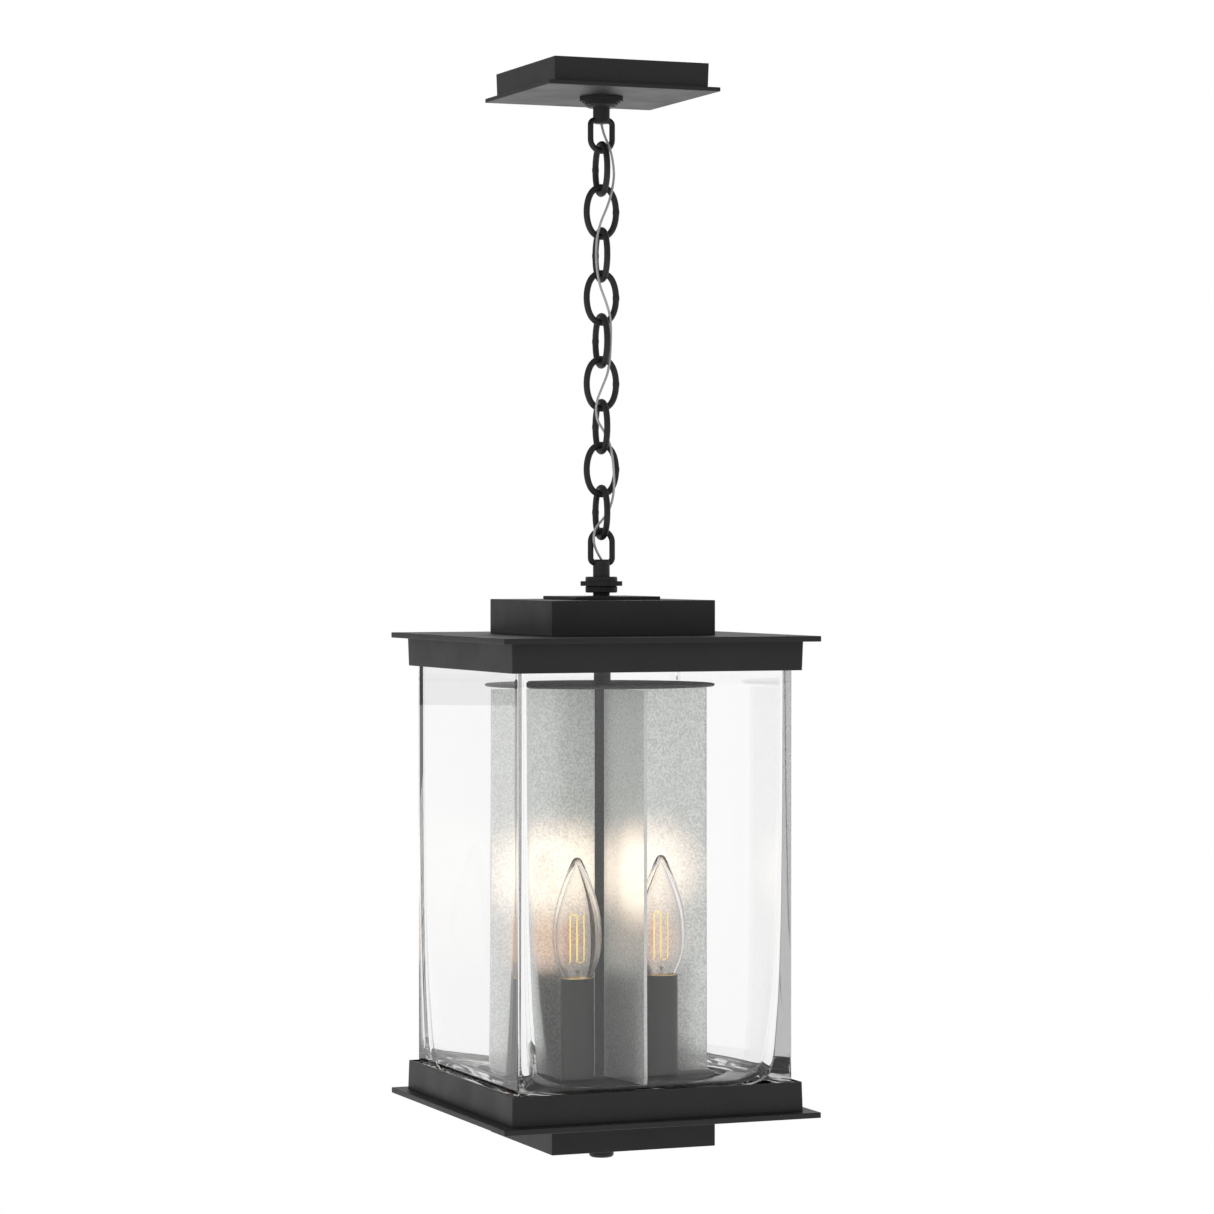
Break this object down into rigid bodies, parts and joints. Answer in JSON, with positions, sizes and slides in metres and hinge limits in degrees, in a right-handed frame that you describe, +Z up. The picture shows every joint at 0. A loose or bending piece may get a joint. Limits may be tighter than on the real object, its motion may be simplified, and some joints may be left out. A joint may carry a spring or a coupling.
{
  "type": "hanging lantern",
  "caption": "Square black metal and clear glass lantern with candle lamps and frosted cross panels, hung by a chain from a square ceiling canopy.",
  "frame": {"origin": "on the lantern's axis in the ceiling plane, midway between the two outlet box screws", "axes": "+Z up into the ceiling, -Y towards the viewer's side, +X along the row of the two outlet box screws"},
  "size_m": [0.24, 0.24, 0.7895],
  "materials": {
    "black_metal": "satin powder coat",
    "clear_glass": "clear, moulded",
    "frosted_glass": "sandblasted",
    "bulb_glass": "clear, thin",
    "filament": "bright wire on a glass mount",
    "brass": "satin",
    "dark_plastic": "matt",
    "gasket": "matt",
    "steel": "zinc plated",
    "silver_cord": "silver-clear sheath"
  },
  "bodies": {
    "ceiling_mount": {"crossbar": "steel", "ground_screw": "brass", "stem": "steel", "stem_nut": "steel", "canopy_loop": "black_metal", "supply_cord": "silver_cord"},
    "canopy": {"canopy_pan": "black_metal", "canopy_plate": "black_metal"},
    "collar_ring": {"canopy_collar_ring": "black_metal"},
    "link_1": {"chain_link_1": "black_metal"},
    "link_2": {"chain_link_2": "black_metal"},
    "link_3": {"chain_link_3": "black_metal"},
    "link_4": {"chain_link_4": "black_metal"},
    "link_5": {"chain_link_5": "black_metal"},
    "link_6": {"chain_link_6": "black_metal"},
    "link_7": {"chain_link_7": "black_metal"},
    "link_8": {"chain_link_8": "black_metal"},
    "link_9": {"chain_link_9": "black_metal"},
    "base": {"glass_box": "clear_glass", "glass_foot_gasket": "gasket", "base_tray": "black_metal", "base_plate": "black_metal", "base_box": "black_metal"},
    "finial": {"finial_knob": "black_metal"},
    "bulb_1": {"bulb_glass_1": "bulb_glass", "bulb_base_1": "brass", "bulb_filament_1": "filament"},
    "bulb_2": {"bulb_glass_2": "bulb_glass", "bulb_base_2": "brass", "bulb_filament_2": "filament"},
    "bulb_3": {"bulb_glass_3": "bulb_glass", "bulb_base_3": "brass", "bulb_filament_3": "filament"},
    "bulb_4": {"bulb_glass_4": "bulb_glass", "bulb_base_4": "brass", "bulb_filament_4": "filament"},
    "lantern": {"fixture_loop": "black_metal", "coupling_ring": "black_metal", "lock_nut": "black_metal", "roof_nipple": "black_metal", "roof_cap": "black_metal", "roof_box": "black_metal", "roof_plate": "black_metal", "roof_fascia": "black_metal", "glass_top_gasket": "gasket", "centre_rod": "black_metal", "hex_nuts": "steel", "top_disc": "black_metal", "cluster_plate": "black_metal", "lamp_sockets": "dark_plastic", "lamp_leads": "dark_plastic", "splice_caps": "dark_plastic", "diffuser_panel_1": "frosted_glass", "candle_sleeve_1": "black_metal", "diffuser_panel_2": "frosted_glass", "candle_sleeve_2": "black_metal", "diffuser_panel_3": "frosted_glass", "candle_sleeve_3": "black_metal", "diffuser_panel_4": "frosted_glass", "candle_sleeve_4": "black_metal"}
  },
  "joints": [
    {"name": "canopy_slide", "type": "slide", "parent": "ceiling_mount", "child": "canopy", "axis": [0, 0, -1], "range_m": [0, 0.028]},
    {"name": "collar_ring_spin", "type": "hinge", "parent": "canopy", "child": "collar_ring", "pos_m": [0, 0, -0.0208], "axis": [0, 0, 1], "continuous": true},
    {"name": "link_1_swing", "type": "hinge", "parent": "ceiling_mount", "child": "link_1", "pos_m": [0, 0, -0.05935], "axis": [1, 0, 0], "range_deg": [-12, 12], "deforming": ["supply_cord"]},
    {"name": "link_2_swing", "type": "hinge", "parent": "link_1", "child": "link_2", "pos_m": [0, 0, -0.0905], "axis": [0, 1, 0], "range_deg": [-12, 12], "deforming": ["supply_cord"]},
    {"name": "link_3_swing", "type": "hinge", "parent": "link_2", "child": "link_3", "pos_m": [0, 0, -0.1216], "axis": [1, 0, 0], "range_deg": [-12, 12], "deforming": ["supply_cord"]},
    {"name": "link_4_swing", "type": "hinge", "parent": "link_3", "child": "link_4", "pos_m": [0, 0, -0.1527], "axis": [0, 1, 0], "range_deg": [-12, 12], "deforming": ["supply_cord"]},
    {"name": "link_5_swing", "type": "hinge", "parent": "link_4", "child": "link_5", "pos_m": [0, 0, -0.1838], "axis": [1, 0, 0], "range_deg": [-12, 12], "deforming": ["supply_cord"]},
    {"name": "link_6_swing", "type": "hinge", "parent": "link_5", "child": "link_6", "pos_m": [0, 0, -0.2149], "axis": [0, 1, 0], "range_deg": [-12, 12], "deforming": ["supply_cord"]},
    {"name": "link_7_swing", "type": "hinge", "parent": "link_6", "child": "link_7", "pos_m": [0, 0, -0.246], "axis": [1, 0, 0], "range_deg": [-12, 12], "deforming": ["supply_cord"]},
    {"name": "link_8_swing", "type": "hinge", "parent": "link_7", "child": "link_8", "pos_m": [0, 0, -0.2771], "axis": [0, 1, 0], "range_deg": [-12, 12], "deforming": ["supply_cord"]},
    {"name": "link_9_swing", "type": "hinge", "parent": "link_8", "child": "link_9", "pos_m": [0, 0, -0.3082], "axis": [1, 0, 0], "range_deg": [-12, 12], "deforming": ["supply_cord"]},
    {"name": "lantern_swing", "type": "hinge", "parent": "link_9", "child": "lantern", "pos_m": [0, 0, -0.3393], "axis": [0, 1, 0], "range_deg": [-12, 12], "deforming": ["supply_cord"]},
    {"name": "base_lower", "type": "slide", "parent": "lantern", "child": "base", "axis": [0, 0, -1], "range_m": [0, 0.33]},
    {"name": "finial_spin", "type": "hinge", "parent": "base", "child": "finial", "pos_m": [0, 0, -0.7767], "axis": [0, 0, 1], "continuous": true},
    {"name": "bulb_1_screw", "type": "hinge", "parent": "lantern", "child": "bulb_1", "pos_m": [-0.0325, -0.0325, -0.666], "axis": [0, 0, 1], "continuous": true},
    {"name": "bulb_2_screw", "type": "hinge", "parent": "lantern", "child": "bulb_2", "pos_m": [0.0325, -0.0325, -0.666], "axis": [0, 0, 1], "continuous": true},
    {"name": "bulb_3_screw", "type": "hinge", "parent": "lantern", "child": "bulb_3", "pos_m": [0.0325, 0.0325, -0.666], "axis": [0, 0, 1], "continuous": true},
    {"name": "bulb_4_screw", "type": "hinge", "parent": "lantern", "child": "bulb_4", "pos_m": [-0.0325, 0.0325, -0.666], "axis": [0, 0, 1], "continuous": true}
  ]
}
